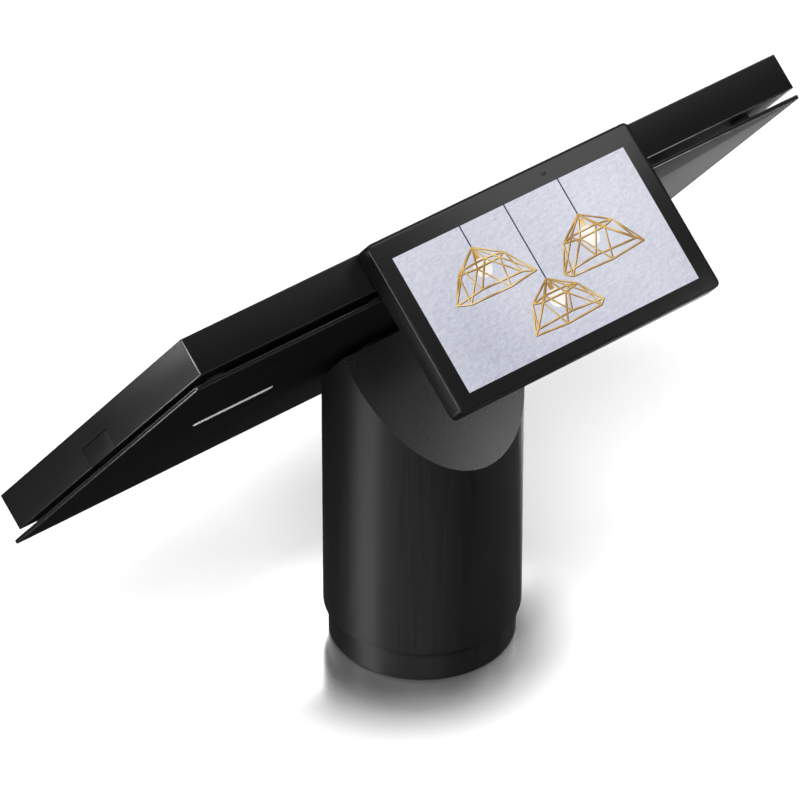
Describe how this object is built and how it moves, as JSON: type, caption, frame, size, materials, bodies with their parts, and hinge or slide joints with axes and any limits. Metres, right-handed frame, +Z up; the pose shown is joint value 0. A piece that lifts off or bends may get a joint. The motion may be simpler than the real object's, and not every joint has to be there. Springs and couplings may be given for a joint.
{
  "type": "countertop touch terminal",
  "caption": "Countertop touch terminal: a wide sloped touchscreen head on a swivelling round column, with a small tilting customer display behind its upper edge.",
  "frame": {"origin": "centre of the base's underside, on the column's axis", "axes": "+Z up the column; +X along the head's long edge, away from the power key; +Y towards the operator who faces the touchscreen; -Y towards the customer"},
  "size_m": [0.3424, 0.1999, 0.2651],
  "materials": {
    "black_anodised": "satin black anodised",
    "black_plastic": "satin black moulded",
    "key_plastic": "satin black moulded",
    "black_glass": "polished, black printed behind",
    "lcd_module": "matte",
    "dark_plastic": "matte",
    "washer_plastic": "self-lubricating, smooth",
    "soft_rubber": "matte",
    "cable_jacket": "matte",
    "cast_iron": "machined and blackened",
    "steel": "zinc-passivated",
    "bare_aluminium": "milled",
    "plated_screws": "bright zinc plating",
    "polished_badge": "polished",
    "circuit_board": "solder mask",
    "antenna_brass": "plated"
  },
  "bodies": {
    "base": {"foot_pad": "soft_rubber", "base_ring": "black_anodised", "ballast_plate": "cast_iron", "swivel_spindle": "steel", "spindle_screws": "plated_screws", "thrust_washer": "washer_plastic", "stop_pin": "steel", "retaining_washer": "steel", "spindle_nut": "plated_screws"},
    "column_and_head": {"swivel_flange": "cast_iron", "flange_screws": "plated_screws", "column_shell": "black_anodised", "column_chassis": "steel", "port_panel": "black_plastic", "io_board": "circuit_board", "lan_port": "steel", "usb_ports": "steel", "power_inlet": "dark_plastic", "column_harness": "cable_jacket", "neck_block": "black_anodised", "neck_screws": "plated_screws", "head_shell": "black_plastic", "cover_glass": "black_glass", "lcd_panel": "lcd_module", "head_chassis": "bare_aluminium", "mainboard": "circuit_board", "board_screws": "plated_screws", "heat_spreader": "bare_aluminium", "thermal_pad": "soft_rubber", "speakers": "dark_plastic", "wifi_antennas": "antenna_brass", "power_switch": "dark_plastic", "head_back": "black_plastic", "back_screws": "plated_screws", "rear_panel": "black_anodised", "panel_spacers": "soft_rubber", "panel_screws": "plated_screws", "badge": "polished_badge", "hinge_bracket": "steel", "bracket_screws": "plated_screws", "hinge_pin": "steel", "display_cable": "cable_jacket"},
    "power_key": {"power_key": "key_plastic", "key_plunger": "dark_plastic"},
    "customer_display": {"display_shell": "black_plastic", "display_glass": "black_glass", "display_lcd": "lcd_module", "display_board": "circuit_board", "display_sensor": "dark_plastic", "hinge_leaf": "steel", "leaf_screws": "plated_screws", "display_lead": "cable_jacket"}
  },
  "joints": [
    {"name": "base_swivel", "type": "hinge", "parent": "base", "child": "column_and_head", "pos_m": [0, 0, 0.0168], "axis": [0, 0, 1], "range_deg": [-90, 90]},
    {"name": "display_tilt", "type": "hinge", "parent": "column_and_head", "child": "customer_display", "pos_m": [0, -0.06088, 0.23264], "axis": [1, 0, 0], "range_deg": [0, 40]},
    {"name": "power_press", "type": "slide", "parent": "column_and_head", "child": "power_key", "axis": [1, 0, 0], "range_m": [0, 0.0006], "stiffness_N_per_m": 1500}
  ]
}
